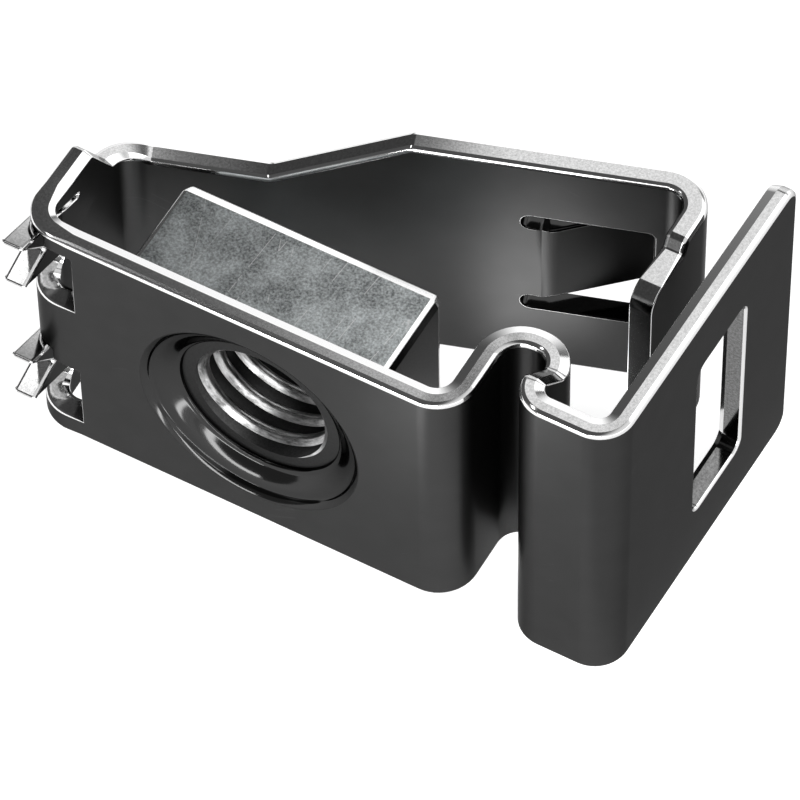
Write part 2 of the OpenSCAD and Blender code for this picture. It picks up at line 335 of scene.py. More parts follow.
def arc(centre, radius, start, end, edges, steps=10):
    """Points on an arc, whose edge radius changes evenly from one value to the other"""
    points = []
    for count in range(steps + 1):
        angle = math.radians(start + (end - start) * count / steps)
        edge = edges[0] + (edges[1] - edges[0]) * count / steps
        points.append((centre[0] + radius * math.cos(angle),
                       centre[1] + radius * math.sin(angle), edge, False))
    return points


def rim_profile():
    """Half heights along the strip, from the lever's end to the free end of the right wall"""
    out = [-FRONT_RIGHT - leg[0] for leg in OUT_LEGS]
    lever_end = out[-1] - WAY_OUT[-1][0]
    around = [FRONT_LEFT + leg[0] for leg in ROUND_LEGS]
    free_end = around[-1] + WAY_ROUND[-1][0]
    step = around[2] - STEP_REST - STEP_RUN
    fold_share = STEP_REST / (STEP_REST + around[3] - around[2])
    fold_h = STEP_FOOT_H - (STEP_FOOT_H - NARROW_H) * fold_share
    right_step = around[5] + RIGHT_STEP_START
    # The edge is finer round the tight front left fold, and changes over a short lead
    lead, margin = 0.6, 0.1
    return [
        (lever_end, LEVER_H / 2, END_R, EDGE_R),
        (out[6], LEVER_H / 2, RAMP_R, EDGE_R),
        (out[5], CAGE_H / 2, RAMP_R, EDGE_R),
        (FRONT_LEFT - lead, CAGE_H / 2, 0, EDGE_R),
        (FRONT_LEFT + margin, CAGE_H / 2, 0, TIGHT_FOLD_EDGE_R),
        (around[1] - margin, CAGE_H / 2, 0, TIGHT_FOLD_EDGE_R),
        (around[1] + lead, CAGE_H / 2, 0, EDGE_R),
        (step, CAGE_H / 2, STEP_TOP_R, EDGE_R),
        (step + STEP_RUN, STEP_FOOT_H / 2, STEP_FOOT_R, EDGE_R),
        (around[2], fold_h / 2, SLIGHT_BEND_R, EDGE_R),
        (around[3] - NARROW_LEAD, NARROW_H / 2, STEP_FOOT_R, EDGE_R),
        (around[3] + NARROW_RUN, NARROW_H / 2, RAMP_R, EDGE_R),
        (around[3] + NARROW_RUN + RAMP_RUN, CAGE_H / 2, RAMP_R, EDGE_R),
        (right_step, CAGE_H / 2, STEP_TOP_R, EDGE_R),
        (right_step + RIGHT_STEP_RUN, RIGHT_H / 2, SLIGHT_BEND_R, EDGE_R),
        (free_end, RIGHT_H / 2, END_R, FREE_END_EDGE_R),
    ]


def strip_outline():
    top = rim_profile()
    bottom = [(run, -height, radius, edge) for run, height, radius, edge in top]
    return rounded(bottom + top[::-1])


def lever_window():
    start, run, height, radius = LEVER_WINDOW
    near = -FRONT_RIGHT - OUT_LEGS[-1][0] - start
    far = near - run
    corners = [(far, height / 2), (near, height / 2), (near, -height / 2), (far, -height / 2)]
    return rounded([(x, y, radius, LEVER_WINDOW_EDGE_R) for x, y in corners])


def tab_opening():
    """The window that the tab was cut from, with its two slots; the tab's root is left open"""
    fold = FRONT_LEFT + BACK_WALL[0] + TAB_FOLD
    far = fold + TAB_WINDOW
    slot = TAB_SLOT / 2
    slot_at = fold - TAB_RELIEF + slot
    low, high = TAB_Z - TAB_H / 2, TAB_Z + TAB_H / 2
    edge = TAB_WINDOW_EDGE_R
    points = rounded([(fold, high + TAB_SLOT, 0, edge), (far, high + TAB_SLOT, TAB_WINDOW_R, edge),
                      (far, low - TAB_SLOT, TAB_WINDOW_R, edge), (fold, low - TAB_SLOT, 0, edge)])
    points += arc((slot_at, low - slot), slot, 270, 90, (edge, edge))
    points += [(fold - ROOT_RUN, low, edge, False), (fold, low, 0, True)]
    points += [(fold, high, 0, False), (fold - ROOT_RUN, high, edge, False)]
    points += arc((slot_at, high + slot), slot, 270, 90, (edge, edge))
    return points


def tab_outline():
    edge = TAB_EDGE_R
    end = TAB_LEGS[1][0] + TAB[1][0]
    low, high = TAB_Z - TAB_H / 2, TAB_Z + TAB_H / 2
    points = [(0, low, 0, False), (ROOT_RUN, low, edge, False)]
    points += rounded([(ROOT_RUN, low, 0, edge), (end, low, TAB_R, edge),
                       (end, high, TAB_R, edge), (ROOT_RUN, high, 0, edge)])[1:]
    return points + [(0, high, 0, True)]


def tooth_middle(run, middle):
    return middle + TOOTH_Z - (run + CORNER_OUT) * math.tan(math.radians(TOOTH_LIFT))


def corner_window(middle):
    """Corner window with the slit above its tooth; the tooth's foot is left open"""
    fold_end = FRONT_LEFT + LEFT_WALL[0]
    bend_r = WAY_ROUND[0][1] + SHEET_T / 2
    half = WINDOW_H / 2
    near = FRONT_LEFT - (WINDOW_FRONT - CORNER_OUT) - fold_end
    slit_end = SLIT_SIDE - CORNER_OUT - SLIT_W / 2
    fine = SLIT_EDGE_R
    points = [(near, middle + half, WINDOW_FRONT_EDGE_R, False),
              (-bend_r * math.radians(SLIT_ANGLES[0]), middle + half, fine, False)]
    for angle in SLIT_ANGLES:
        side = -bend_r * math.sin(math.radians(angle))
        top = tooth_middle(side, middle) + TOOTH_H / 2 + SLIT_W
        points.append((-bend_r * math.radians(angle), top, fine, False))
    end_middle = tooth_middle(slit_end, middle) + (TOOTH_H + SLIT_W) / 2
    points += arc((slit_end, end_middle), SLIT_W / 2, 90, -90, (fine, fine), 8)
    for run, edge, opened in ((TOOTH_FOOT + ROOT_RUN, fine, False), (TOOTH_FOOT, 0, True)):
        points.append((run, tooth_middle(run, middle) + TOOTH_H / 2, edge, opened))
    corner = (WINDOW_SIDE - CORNER_OUT - WINDOW_R, middle - half + WINDOW_R)
    low = tooth_middle(TOOTH_FOOT, middle) - TOOTH_H / 2
    meet = math.degrees(math.asin((low - corner[1]) / WINDOW_R))
    points += arc(corner, WINDOW_R, meet, -90, (0, WINDOW_LIP_R))
    points.append((near, middle - half, WINDOW_FRONT_EDGE_R, False))
    return [(fold_end + run, height, edge, opened) for run, height, edge, opened in points]


def tooth_outline(middle):
    half = TOOTH_H / 2
    root, start = TOOTH_FOOT - ROOT_RUN, TOOTH_FOOT - PRONGS_RUN
    tip = -CORNER_OUT - TOOTH_REACH
    points = [(TOOTH_FOOT, tooth_middle(TOOTH_FOOT, middle) + half, 0, False),
              (root, tooth_middle(root, middle) + half, TOOTH_EDGE_R, False)]
    corners = [(start, half, 0), (tip, half, TOOTH_TIP_R), (tip + TOOTH_FORK, 0, TOOTH_FORK_R),
               (tip, -half, TOOTH_TIP_R), (start, -half, 0)]
    points += rounded([(run, tooth_middle(run, middle) + off, radius, TOOTH_EDGE_R)
                       for run, off, radius in corners])
    points.append((root, tooth_middle(root, middle) - half, TOOTH_EDGE_R, False))
    points.append((TOOTH_FOOT, tooth_middle(TOOTH_FOOT, middle) - half, 0, True))
    return points


def nut_outline():
    half = NUT_W / 2
    (run_1, drop_1), (run_2, drop_2) = NUT_CORNER
    quarter = [(half - run_1 - run_2, half), (half - run_2, half - drop_1),
               (half, half - drop_1 - drop_2)]
    corners = [(x, -y) for x, y in quarter] + quarter[::-1] + [(-x, y) for x, y in quarter]
    corners += [(-x, -y) for x, y in quarter[::-1]]
    return rounded([(x, y, NUT_CORNER_R, NUT_EDGE_R) for x, y in corners])


# ---- Plates: an outline with holes, given a thickness and rounded edges, then folded ----

class Plate:
    """Collects a flat plate and then folds it. A vertex is at (run, height, depth)."""

    def __init__(self, thickness, outer_edge, inner_edge, inner_edge_at=None):
        self.thickness = thickness
        self.outer_edge = outer_edge
        self.inner_edge = inner_edge
        self.inner_edge_at = inner_edge_at
        self.mesh = bmesh.new()
        self.normal = self.mesh.verts.layers.float_vector.new("flat_normal")
        self.edge = self.mesh.verts.layers.float.new("edge")
        self.caps = [[], []]

    def vertex(self, place, normal, edge):
        vert = self.mesh.verts.new(place)
        vert[self.normal] = normal
        vert[self.edge] = edge
        return vert

    def join_rings(self, rings, opened):
        """Faces between one ring and the next, except after the points that are open"""
        for index, is_open in enumerate(opened):
            if is_open:
                continue
            after = (index + 1) % len(opened)
            for lower, upper in zip(rings, rings[1:]):
                self.mesh.faces.new([lower[index], lower[after], upper[after], upper[index]])

    def add_outline(self, points, finish=SHEARED):
        """Rounded cut edges along a closed outline that keeps the metal on its left"""
        rings = [self.outline_ring(points, step, -1, finish)
                 for step in range(len(self.outer_edge))]
        rings += [self.outline_ring(points, step, 1, finish)
                  for step in reversed(range(len(self.inner_edge)))]
        self.join_rings(rings, [point[3] for point in points])
        self.caps[0].append(rings[0])
        self.caps[1].append(rings[-1])

    def outline_ring(self, points, step, face, finish):
        """One step of the cut edge, on the outer face (-1) or the inner one (1)"""
        ring = []
        for index, (run, height, edge, _) in enumerate(points):
            into_cut, down_face, lean = self.edge_row(run, step, face)
            inward, reach = self.into_metal(points, index)
            offset = inward * reach * edge * down_face
            depth = edge * into_cut if face < 0 else self.thickness - edge * into_cut
            lean = math.radians(lean)
            level = math.cos(lean)
            normal = (-inward.x * level, -inward.y * level, face * math.sin(lean))
            value = 1 - lean / (math.pi / 2)
            if step == 0:
                value = 0
            elif lean == 0 or finish == DRAWN:
                value = finish
            ring.append(self.vertex((run + offset.x, height + offset.y, depth), normal, value))
        return ring

    def edge_row(self, run, step, face):
        if face < 0:
            return self.outer_edge[step]
        row = self.inner_edge[step]
        if self.inner_edge_at is None:
            return row
        other, share = self.inner_edge_at(run)
        return [a + (b - a) * share for a, b in zip(row, other[step])]

    @staticmethod
    def into_metal(points, index):
        """Direction into the metal at a corner, and how much further it moves than its sides"""
        here = Vector(points[index][:2])
        back = (here - Vector(points[index - 1][:2])).normalized()
        ahead = (Vector(points[(index + 1) % len(points)][:2]) - here).normalized()
        sides = Vector((-back.y, back.x)) + Vector((-ahead.y, ahead.x))
        if sides.length < SHARPEST_CORNER:
            return Vector((-back.y, back.x)), 1.0
        return sides.normalized(), min(2 / sides.length, FURTHEST_REACH)

    def add_round_hole(self, profile):
        """A turned hole about (0, 0): radius, depth and the normal's share along the depth"""
        rings = []
        for radius, depth, lean in profile:
            inward = -math.sqrt(max(0, 1 - lean * lean))
            ring = []
            for count in range(ROUND_STEPS):
                angle = -2 * math.pi * count / ROUND_STEPS
                spoke = Vector((math.cos(angle), math.sin(angle)))
                place = (spoke.x * radius, spoke.y * radius, depth)
                ring.append(self.vertex(place, (spoke.x * inward, spoke.y * inward, lean), DRAWN))
            rings.append(ring)
        self.join_rings(rings, [False] * ROUND_STEPS)
        for cap, ring, face in ((0, rings[0], -1), (1, rings[-1], 1)):
            self.caps[cap].append([self.vertex(vert.co, (0, 0, face), 0) for vert in ring])

    def fill_caps(self):
        """Fill both faces of the plate between the outlines"""
        for loops in self.caps:
            verts = [vert for loop in loops for vert in loop]
            edges, start = [], 0
            for loop in loops:
                edges += [(start + i, start + (i + 1) % len(loop)) for i in range(len(loop))]
                start += len(loop)
            flat = [vert.co.xy for vert in verts]
            out = delaunay_2d_cdt(flat, edges, [], 0, SAME_POINT)
            depth, normal = verts[0].co.z, verts[0][self.normal].copy()
            known = [verts[origin[0]] if origin else self.vertex((*at, depth), normal, 0)
                     for at, origin in zip(out[0], out[3])]
            for face in out[2]:
                corners = [known[i] for i in face]
                middle = sum((out[0][i] for i in face), Vector((0, 0))) / len(face)
                if len(set(corners)) < 3 or not inside(middle, flat, edges):
                    continue
                if self.mesh.faces.get(corners) is None:
                    self.mesh.faces.new(corners)

    def cut_across(self, runs):
        for run in runs:
            geometry = self.mesh.verts[:] + self.mesh.edges[:] + self.mesh.faces[:]
            bmesh.ops.bisect_plane(self.mesh, geom=geometry, dist=CUT_WIDTH,
                                   plane_co=(run, 0, 0), plane_no=(1, 0, 0))

    def folded(self, place):
        """Vertices in metres with their normals, strip places and edge values, and the faces"""
        self.mesh.verts.index_update()
        points, normals, strip, edges = [], [], [], []
        for vert in self.mesh.verts:
            run, height, depth = vert.co
            at, along, inward = place(run, depth)
            flat = vert[self.normal]
            level = along * flat.x + inward * flat.z
            points.append((at.x * MM, (at.y + FRONT_FACE) * MM, height * MM))
            normals.append(Vector((level.x, level.y, flat.y)).normalized())
            strip.append((run, height, depth))
            edges.append(vert[self.edge])
        faces = []
        for face in self.mesh.faces:
            corners = [vert.index for vert in face.verts]
            faces.append(turned_out(corners, points, normals))
        self.mesh.free()
        return points, normals, strip, edges, [face for face in faces if face]


def inside(point, flat, edges):
    """Even-odd test of a point against all outlines"""
    odd = False
    for first, last in edges:
        a, b = flat[first], flat[last]
        if (a.y > point.y) != (b.y > point.y):
            if point.x < a.x + (point.y - a.y) / (b.y - a.y) * (b.x - a.x):
                odd = not odd
    return odd


def turned_out(corners, points, normals):
    """Order a face's corners so that it faces as its vertices do; without area it gives None"""
    area = Vector((0, 0, 0))
    origin = Vector(points[corners[0]])
    for second, third in zip(corners[1:], corners[2:]):
        area += (Vector(points[second]) - origin).cross(Vector(points[third]) - origin)
    if area.length < NO_AREA:
        return None
    facing = sum((normals[index] for index in corners), Vector((0, 0, 0)))
    return corners if area.dot(facing) > 0 else corners[::-1]


def linked_object(name, mesh, material):
    mesh.materials.append(material)
    piece = bpy.data.objects.new(name, mesh)
    bpy.context.scene.collection.objects.link(piece)
    return piece


def make_object(name, parts, material):
    """One mesh object from several folded plates, with its normals and its strip places kept"""
    points, normals, strip, edges, faces = [], [], [], [], []
    for part in parts:
        start = len(points)
        points += part[0]
        normals += part[1]
        strip += part[2]
        edges += part[3]
        faces += [[start + index for index in face] for face in part[4]]
    mesh = bpy.data.meshes.new(name)
    mesh.from_pydata(points, [], faces)
    mesh.validate()
    mesh.attributes.new("strip", "FLOAT_VECTOR", "POINT").data.foreach_set(
        "vector", [value for place in strip for value in place])
    mesh.attributes.new("edge", "FLOAT", "POINT").data.foreach_set("value", edges)
    mesh.shade_smooth()
    mesh.normals_split_custom_set_from_vertices(normals)
    return linked_object(name, mesh, material)


# ---- Cage ----

def dish_profile():
    """Radius, depth and normal of the dished hole; the normal at its mouth is the face's own"""
    profile = []
    for index, (radius, depth) in enumerate(DISH):
        before = DISH[max(index - 1, 0)]
        after = DISH[min(index + 1, len(DISH) - 1)]
        along = Vector((after[0] - before[0], after[1] - before[1])).normalized()
        profile.append((radius, depth, -1.0 if index == 0 else along.x))
    return profile


def burnished_out_of_back(run):
    """The inner edge is pressed flat from the lever to the left wall, and rolled from there on"""
    left_end = FRONT_LEFT + ROUND_LEGS[2][0]
    return BURNISHED_EDGE, min(1.0, max(0.0, 1 - (run - left_end) / BURNISH_FADE))


def cut_tongue(outline, finish=SHEARED):
    """A tooth or the tab, before it is folded"""
    tongue = Plate(SHEET_T, ROLLED_EDGE, ROLLED_EDGE)
    tongue.add_outline(outline, finish)
    tongue.fill_caps()
    return tongue


def make_cage(material):
    strip = Plate(SHEET_T, ROLLED_EDGE, ROLLED_EDGE, burnished_out_of_back)
    strip.add_outline(strip_outline())
    strip.add_outline(lever_window(), PUNCHED)
    strip.add_outline(tab_opening(), DRAWN)
    for middle in WINDOW_MIDDLES:
        strip.add_outline(corner_window(middle))
    strip.add_round_hole(dish_profile())
    strip.fill_caps()
    strip.cut_across([FRONT_LEFT + run for run in fold_stations(ROUND_LEGS)])
    strip.cut_across([-FRONT_RIGHT - run for run in fold_stations(OUT_LEGS)])
    parts = [strip.folded(place_on_strip)]
    for middle in WINDOW_MIDDLES:
        parts.append(cut_tongue(tooth_outline(middle)).folded(place_on_tooth))
    tab = cut_tongue(tab_outline(), DRAWN)
    tab.cut_across(fold_stations(TAB_LEGS))
    parts.append(tab.folded(place_on_tab))
    return make_object("folded_cage", parts, material)


# ---- Nut ----

def make_nut_body(material):
    near_edge = [(into_cut * NEAR_EDGE_SHARE, down_face * NEAR_EDGE_SHARE, lean)
                 for into_cut, down_face, lean in NUT_EDGE]
    body = Plate(NUT_T, near_edge, NUT_EDGE)
    body.add_outline(nut_outline())
    body.add_round_hole([(COUNTERSINK_R, 0, -COUNTERSINK_LEAN),
                         (COUNTERSINK_R, NUT_T, COUNTERSINK_LEAN)])
    body.fill_caps()
    return make_object("nut_body", [body.folded(place_on_nut)], material)


def thread_profile():
    """Share of one pitch, and radius, of the internal thread"""
    crest, root = [[(-at, off) for at, off in rounding[::-1]] + [(0.0, 0.0)] + rounding
                   for rounding in (THREAD_CREST, THREAD_ROOT)]
    return ([(at, BORE_R + off) for at, off in crest]
            + [(0.5 + at, THREAD_ROOT_R - off) for at, off in root])


def make_thread(material):
    """The nut's thread: a helix whose ends run out into the two countersinks"""
    turns = math.ceil(NUT_T / THREAD_PITCH) + 2
    rows = [((turn + at) * THREAD_PITCH, radius)
            for turn in range(-1, turns) for at, radius in thread_profile()]
    half = NUT_T / 2
    points = []
    for start, radius in rows:
        for count in range(ROUND_STEPS + 1):
            share = count / ROUND_STEPS
            along = min(max(start - THREAD_PITCH * (1 - share) - half, -half), half)
            inset = half - abs(along)
            reach = min(max(radius, COUNTERSINK_R - COUNTERSINK_SLOPE * inset),
                        COUNTERSINK_R + THREAD_RUN_OUT * inset)
            angle = 2 * math.pi * share
            points.append((reach * math.cos(angle) * MM, along * MM, reach * math.sin(angle) * MM))
    width = ROUND_STEPS + 1
    faces = []
    for row in range(len(rows) - 1):
        for count in range(ROUND_STEPS):
            corner = row * width + count
            face = [corner, corner + 1, corner + width + 1, corner + width]
            if has_area(face, points):
                faces.append(face)
    mesh = bpy.data.meshes.new("nut_thread")
    mesh.from_pydata(points, [], faces)
    weld(mesh)
    mesh.shade_smooth()
    mesh.set_sharp_from_angle(angle=math.radians(THREAD_SHARP_ANGLE))
    return linked_object("nut_thread", mesh, material)


def has_area(face, points):
    a, b, c, d = [Vector(points[index]) for index in face]
    return (a - c).length > SAME_POINT and (c - a).cross(d - b).length / 2 > NO_AREA


def weld(mesh):
    work = bmesh.new()
    work.from_mesh(mesh)
    bmesh.ops.remove_doubles(work, verts=work.verts, dist=SAME_POINT)
    loose = [vert for vert in work.verts if not vert.link_faces]
    bmesh.ops.delete(work, geom=loose, context="VERTS")
    bmesh.ops.recalc_face_normals(work, faces=work.faces)
    bmesh.ops.reverse_faces(work, faces=work.faces)
    work.to_mesh(mesh)
    work.free()


# ---- Nodes ----

def feed(tree, sockets, values):
    """Give sockets their links or their plain values, by name or by number"""
    for name, value in values.items():
        if isinstance(value, bpy.types.NodeSocket):
            tree.links.new(value, sockets[name])
        else:
            sockets[name].default_value = value


def node(tree, kind, values=None, **settings):
    made = tree.nodes.new(kind)
    for key, value in settings.items():
        setattr(made, key, value)
    feed(tree, made.inputs, values or {})
    return made


def attribute(tree, name):
    return node(tree, "ShaderNodeAttribute", attribute_name=name).outputs


def axes_of(tree, place):
    return node(tree, "ShaderNodeSeparateXYZ", {0: place}).outputs


def object_axes(tree):
    return axes_of(tree, node(tree, "ShaderNodeTexCoord").outputs["Object"])


def noise(tree, place, scale, detail=2.0, roughness=0.5):
    return node(tree, "ShaderNodeTexNoise", {
        "Vector": place, "Scale": scale, "Detail": detail, "Roughness": roughness}).outputs["Fac"]


def spread(tree, value, low, high, to_low=0.0, to_high=1.0, **settings):
    """Lay the range from low to high over another range"""
    return node(tree, "ShaderNodeMapRange", {
        "Value": value, "From Min": low, "From Max": high, "To Min": to_low, "To Max": to_high},
        **settings).outputs["Result"]


def smooth_step(tree, value, low, high, to_low=0.0, to_high=1.0):
    return spread(tree, value, low, high, to_low, to_high, interpolation_type="SMOOTHSTEP")


def past(tree, value, limit, soft=0.01):
    """Mask of where a value is past a limit"""
    return spread(tree, value, limit - soft, limit + soft)


def combined(tree, operation, *values):
    return node(tree, "ShaderNodeMath", dict(enumerate(values)), operation=operation).outputs[0]


def add(tree, first, second):
    return combined(tree, "ADD", first, second)


def multiply(tree, first, second):
    return combined(tree, "MULTIPLY", first, second)


def maximum(tree, first, second):
    return combined(tree, "MAXIMUM", first, second)


def towards(tree, direction, target):
    """How far one direction points towards another"""
    return node(tree, "ShaderNodeVectorMath", {0: direction, 1: target},
                operation="DOT_PRODUCT").outputs["Value"]


def grey(value, tint=(1, 1, 1)):
    return (value * tint[0], value * tint[1], value * tint[2], 1)


def mix_colours(tree, factor, first, second):
    return node(tree, "ShaderNodeMix", {"Factor": factor, "A": first, "B": second},
                data_type="RGBA").outputs["Result"]


def mix_greys(tree, factor, greys, tint=(1, 1, 1)):
    return mix_colours(tree, factor, grey(greys[0], tint), grey(greys[1], tint))


def new_material(name):
    material = bpy.data.materials.new(name)
    material.use_nodes = True
    tree = material.node_tree
    return material, tree, tree.nodes["Principled BSDF"].inputs


# ---- Effects that the materials share ----

def new_group(name, inputs, outputs):
    """A shader node group. An input is (name, value), and one without a value is a vector."""
    tree = bpy.data.node_groups.new(name, "ShaderNodeTree")
    for socket, value in inputs:
        kind = "NodeSocketVector" if value is None else "NodeSocketFloat"
        made = tree.interface.new_socket(socket, in_out="INPUT", socket_type=kind)
        if value is not None:
            made.default_value = value
    for socket in outputs:
        tree.interface.new_socket(socket, in_out="OUTPUT", socket_type="NodeSocketFloat")
    return tree, node(tree, "NodeGroupInput").outputs, node(tree, "NodeGroupOutput").inputs


def placed(tree, group, **values):
    """Put a group in a material with its own values; a space in a name is written as _"""
    named = {name.replace("_", " "): value for name, value in values.items()}
    return node(tree, "ShaderNodeGroup", named, node_tree=group).outputs


def speckle_group():
    """Fine grains, from 0 where the metal is dark to 1 where it is bright"""
    tree, given, out = new_group("metal_speckle", [
        ("Place", None), ("Grain", 9.0), ("Dark below", 0.35), ("Bright above", 0.65)], ["Speckle"])
    grain = noise(tree, given["Place"], given["Grain"], 5.0, 0.7)
    levels = spread(tree, grain, given["Dark below"], given["Bright above"])
    feed(tree, out, {"Speckle": levels})
    return tree


def scratch_group():
    """Long fine scratches along one heading, broken up along their length"""
    tree, given, out = new_group("hair_scratches", [
        ("Place", None), ("Heading", 0.0), ("Spacing", 1.0), ("Width", 0.01), ("Share", 0.5)],
        ["Scratch"])
    turned = node(tree, "ShaderNodeVectorRotate", {
        "Vector": given["Place"], "Angle": given["Heading"]}, rotation_type="Z_AXIS")
    drawn_out = node(tree, "ShaderNodeVectorMath", {
        0: turned.outputs["Vector"], 1: (0.035, 1, 1)}, operation="MULTIPLY")
    waves = noise(tree, drawn_out.outputs["Vector"], given["Spacing"], 1.0)
    off_middle = combined(tree, "ABSOLUTE", combined(tree, "SUBTRACT", waves, 0.5))
    lines = spread(tree, off_middle, 0.0, given["Width"], 1.0, 0.0)
    breaks = noise(tree, given["Place"], 0.45, 3.0, 0.6)
    kept = combined(tree, "LESS_THAN", breaks, given["Share"])
    feed(tree, out, {"Scratch": multiply(tree, lines, kept)})
    return tree


def cut_edge_group():
    """Masks of a plate's edges: its bevels, the flat between them, and how that was cut"""
    masks = {"Bevel": (0.1, 0.2), "Cut": (0.88, 0.96), "Punched": (1.1, 1.2), "Drawn": (1.4, 1.6)}
    tree, given, out = new_group("cut_edges", [("Edge", 0.0)], list(masks))
    feed(tree, out, {name: spread(tree, given["Edge"], *limits) for name, limits in masks.items()})
    return tree


# ---- Materials ----

def sheet_steel(speckle, scratches, edges):
    """Dark oiled faces with hair scratches, bevels with a painted highlight, and cuts of three
    kinds: bare sheared ones with a painted highlight, punched ones with painted shade, and drawn
    ones dark
    """
    material, tree, shader = new_material("oiled_spring_steel")
    strip = attribute(tree, "strip")["Vector"]
    edge = attribute(tree, "edge")["Fac"]
    masks = placed(tree, edges, Edge=edge)
    grains = placed(tree, speckle, Place=strip, Grain=11.0, Dark_below=0.34,
                    Bright_above=0.66)["Speckle"]
    marks = placed(tree, scratches, Place=strip, Heading=0.5, Spacing=2.2, Width=0.006,
                   Share=0.42)["Scratch"]
    colour = mix_greys(tree, noise(tree, strip, 0.8), STEEL_FACE)
    colour = mix_colours(tree, multiply(tree, marks, grains), colour, grey(STEEL_SCRATCH))
    # Painted highlight on the bevels and on the bare sheared cuts, and painted shade on the punched
    # cuts of the lever window
    colour = mix_colours(tree, masks["Bevel"], colour, grey(PAINTED_EDGE_HIGHLIGHT))
    for cut, greys in (("Cut", SHEARED_BARE_AND_HIGHLIGHT), ("Punched", PUNCHED_CUT_AND_SHADE)):
        colour = mix_colours(tree, masks[cut], colour, mix_greys(tree, grains, greys))
    colour = mix_colours(tree, masks["Drawn"], colour, grey(DRAWN_CUT))
    feed(tree, shader, {"Base Color": colour, "Metallic": 1.0, "Specular Tint": grey(0.4),
                        "Roughness": spread(tree, edge, 0.0, 0.3, 0.34, 0.1)})
    return material


def nut_plating(tree, scratches, grains, cloud, axes):
    """Clouded zinc, with scratches that run across the nut's top"""
    across_top = node(tree, "ShaderNodeCombineXYZ", {
        "X": axes["Z"], "Y": axes["X"], "Z": axes["Y"]}).outputs["Vector"]
    marks = maximum(tree, *[
        placed(tree, scratches, Place=across_top, Heading=heading, Spacing=spacing, Width=0.005,
               Share=0.5)["Scratch"] for heading, spacing in ((0.07, 0.6), (-0.34, 0.5))])
    plating = mix_colours(tree, cloud, mix_greys(tree, grains, ZINC_DARK, ZINC_TINT),
                          mix_greys(tree, grains, ZINC_LIGHT, ZINC_TINT))
    return mix_colours(tree, marks, plating, grey(ZINC_SCRATCH))


def zinc_nut(speckle, scratches, edges):
    """Zinc on the top, the underside and the back; the other sides carry painted shade, and the
    edges and corner cuts a painted highlight
    """
    material, tree, shader = new_material("dull_zinc")
    strip = attribute(tree, "strip")["Vector"]
    axes = axes_of(tree, strip)
    across, height = [combined(tree, "ABSOLUTE", axes[axis]) for axis in ("X", "Y")]
    half = NUT_W / 2
    corner_run, corner_drop = sum(run for run, drop in NUT_CORNER), NUT_CORNER[0][1]
    # Painted highlight: the first cut of each corner takes the near-white edge colour
    corner = multiply(tree, past(tree, across, half - corner_run),
                      past(tree, height, half - corner_drop - ON_CORNER))
    masks = placed(tree, edges, Edge=attribute(tree, "edge")["Fac"])
    bevel = multiply(tree, masks["Bevel"], spread(tree, masks["Cut"], 0, 1, 1.0, 0.0))
    bevel = maximum(tree, bevel, corner)
    grains = placed(tree, speckle, Place=strip, Grain=11.0, Dark_below=0.38,
                    Bright_above=0.63)["Speckle"]
    cloud = placed(tree, speckle, Place=strip, Grain=0.55, Dark_below=0.42,
                   Bright_above=0.6)["Speckle"]
    plating = nut_plating(tree, scratches, grains, cloud, axes)
    # Painted shade on the sides and the front; the zinc goes only on the top, the underside and the
    # back
    colour = mix_greys(tree, grains, PAINTED_SHADE_SIDES)
    for face in (past(tree, axes["Z"], NUT_T - ON_BACK, 0.005), past(tree, height, half - ON_TOP)):
        colour = mix_colours(tree, face, colour, plating)
    # Painted highlight on the edges and the corner cuts
    colour = mix_colours(tree, bevel, colour, grey(PAINTED_EDGE_HIGHLIGHT))
    feed(tree, shader, {"Base Color": colour, "Metallic": 1.0, "Specular Tint": grey(0.6),
                        "Roughness": spread(tree, bevel, 0, 1, 0.4, 0.2)})
    return material


def cut_thread(speckle):
    """Bare thread with tool marks that follow its helix"""
    material, tree, shader = new_material("cut_thread")
    axes = object_axes(tree)
    half = NUT_T / 2
    angle = combined(tree, "ARCTAN2", axes["Z"], axes["X"])
    advance = spread(tree, angle, -math.pi, math.pi, -THREAD_PITCH / 2, THREAD_PITCH / 2)
    along = spread(tree, axes["Y"], -half * MM, half * MM, -half, half)
    helix = node(tree, "ShaderNodeCombineXYZ", {
        "X": combined(tree, "SUBTRACT", along, advance),
        "Y": spread(tree, angle, -math.pi, math.pi, 0, 2.4)}).outputs["Vector"]
    tool_marks = placed(tree, speckle, Place=helix, Grain=4.5, Dark_below=0.38,
                        Bright_above=0.62)["Speckle"]
    feed(tree, shader, {"Base Color": mix_greys(tree, tool_marks, THREAD_CUT), "Metallic": 1.0,
                        "Roughness": 0.3})
    return material


# ---- Stage, lights and camera, in metres ----

def floor_patch(tree, axes, across, along, soft):
    """Mask of a soft-edged rectangle on the floor"""
    return multiply(tree, *[
        multiply(tree, smooth_step(tree, axes[axis], low - soft, low),
                 smooth_step(tree, axes[axis], high, high + soft, 1.0, 0.0))
        for axis, (low, high) in (("X", across), ("Y", along))])


